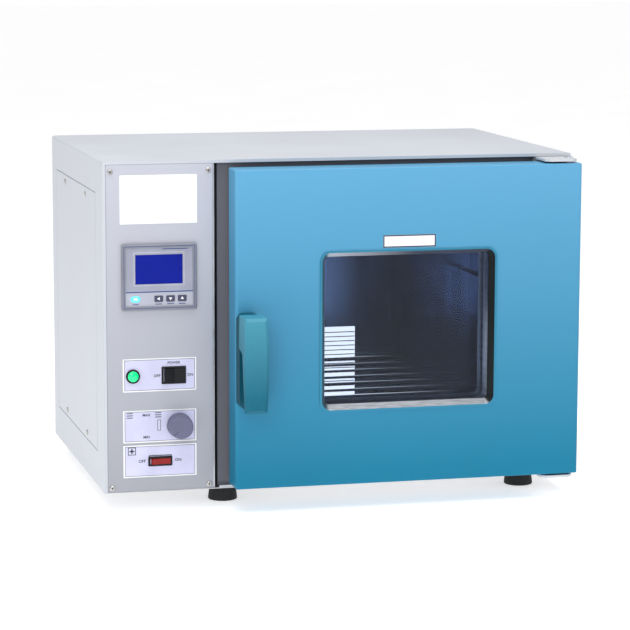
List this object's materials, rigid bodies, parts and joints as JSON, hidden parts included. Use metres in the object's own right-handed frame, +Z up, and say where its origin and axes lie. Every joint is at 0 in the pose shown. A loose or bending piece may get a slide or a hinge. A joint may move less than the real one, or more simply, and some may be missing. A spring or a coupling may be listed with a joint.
{
  "type": "drying oven",
  "caption": "Bench-top forced-air drying oven with a hinged windowed door, wire shelf, control panel with keys, switches and vent knob, and a circulation fan.",
  "frame": {"origin": "middle of the whole oven's bounding box, on the surface it stands on", "axes": "+Z up, the door and control panel face -Y, +X to the right as seen from the front"},
  "size_m": [0.6418, 0.555, 0.464],
  "materials": {
    "white_paint": "powder coat, satin",
    "panel_paint": "powder coat, satin",
    "blue_paint": "powder coat, satin",
    "handle_blue": "fine grain",
    "stainless": "brushed",
    "zinc_steel": "zinc plated",
    "chromed": "polished",
    "trim_aluminium": "polished",
    "window_glass": "clear",
    "display_blue": "clear tinted",
    "plate_film": "printed film",
    "face_lilac": "printed film",
    "black_plastic": "moulded",
    "grey_knob": "moulded",
    "dark_key": "moulded",
    "cyan_key": "backlit",
    "red_plastic": "moulded",
    "green_lens": "clear tinted",
    "black_rubber": "moulded",
    "silicone": "moulded",
    "mineral_wool": "felt",
    "motor_grey": "enamel"
  },
  "bodies": {
    "cabinet": {"outer_cover": "white_paint", "side_access_cover": "white_paint", "cabinet_screws": "chromed", "base_pan": "zinc_steel", "back_panel": "white_paint", "feet": "black_rubber", "foot_screws": "zinc_steel", "control_panel": "panel_paint", "panel_mounting_angle": "zinc_steel", "control_partition": "zinc_steel", "panel_plates": "plate_film", "controller_bezel": "black_plastic", "controller_face": "face_lilac", "display_window": "display_blue", "controller_housing": "black_plastic", "switch_bodies": "black_plastic", "pilot_lamp_body": "black_plastic", "pilot_lamp_lens": "green_lens", "vent_bush": "chromed", "vent_tube": "stainless", "chamber_frame": "panel_paint", "chamber_liner": "stainless", "insulation_jacket": "mineral_wool", "air_baffle": "stainless", "air_guide": "stainless", "shelf_rails": "stainless", "fan_motor": "motor_grey", "fan_motor_bracket": "zinc_steel", "heater_element": "stainless", "temperature_probe": "stainless", "exhaust_spigot": "stainless", "power_inlet": "black_plastic", "hinge_brackets": "white_paint", "hinge_pins": "chromed", "magnetic_catch": "black_plastic"},
    "door": {"door_skin": "blue_paint", "door_inner_panel": "stainless", "door_insulation": "mineral_wool", "door_gasket": "silicone", "window_trim": "trim_aluminium", "window_panes": "window_glass", "window_spacer": "stainless", "window_label": "plate_film", "handle_base": "handle_blue", "handle_grip": "handle_blue", "handle_screws": "zinc_steel", "hinge_bushes": "zinc_steel", "catch_strike": "zinc_steel"},
    "set_button": {"set_key": "cyan_key"},
    "left_button": {"left_key": "dark_key"},
    "down_button": {"down_key": "dark_key"},
    "up_button": {"up_key": "dark_key"},
    "power_button": {"power_rocker": "black_plastic"},
    "fan_button": {"fan_rocker": "red_plastic"},
    "vent_control": {"vent_knob": "grey_knob", "vent_shaft": "chromed", "vent_damper": "stainless"},
    "shelf": {"wire_shelf": "chromed"},
    "fan_rotor": {"fan_impeller": "zinc_steel", "fan_shaft": "chromed"}
  },
  "joints": [
    {"name": "door_hinge", "type": "hinge", "parent": "cabinet", "child": "door", "pos_m": [0.3089, -0.1975, 0.245], "axis": [0, 0, 1], "range_deg": [0, 120]},
    {"name": "set_key_press", "type": "slide", "parent": "cabinet", "child": "set_button", "axis": [0, 1, 0], "range_m": [0, 0.0008], "stiffness_N_per_m": 250},
    {"name": "left_key_press", "type": "slide", "parent": "cabinet", "child": "left_button", "axis": [0, 1, 0], "range_m": [0, 0.0008], "stiffness_N_per_m": 250},
    {"name": "down_key_press", "type": "slide", "parent": "cabinet", "child": "down_button", "axis": [0, 1, 0], "range_m": [0, 0.0008], "stiffness_N_per_m": 250},
    {"name": "up_key_press", "type": "slide", "parent": "cabinet", "child": "up_button", "axis": [0, 1, 0], "range_m": [0, 0.0008], "stiffness_N_per_m": 250},
    {"name": "power_rocker_tilt", "type": "hinge", "parent": "cabinet", "child": "power_button", "pos_m": [-0.2263, -0.1697, 0.18145], "axis": [0, 0, 1], "range_deg": [-16, 0]},
    {"name": "fan_rocker_tilt", "type": "hinge", "parent": "cabinet", "child": "fan_button", "pos_m": [-0.2451, -0.1697, 0.067], "axis": [0, 0, 1], "range_deg": [-16, 0]},
    {"name": "vent_turn", "type": "hinge", "parent": "cabinet", "child": "vent_control", "pos_m": [-0.2196, -0.1727, 0.1145], "axis": [0, 1, 0], "range_deg": [0, 90]},
    {"name": "shelf_slide", "type": "slide", "parent": "cabinet", "child": "shelf", "axis": [0, -1, 0], "range_m": [0, 0.008]},
    {"name": "fan_spin", "type": "hinge", "parent": "cabinet", "child": "fan_rotor", "pos_m": [-0.1881, 0.0032, 0.245], "axis": [1, 0, 0], "continuous": true}
  ]
}
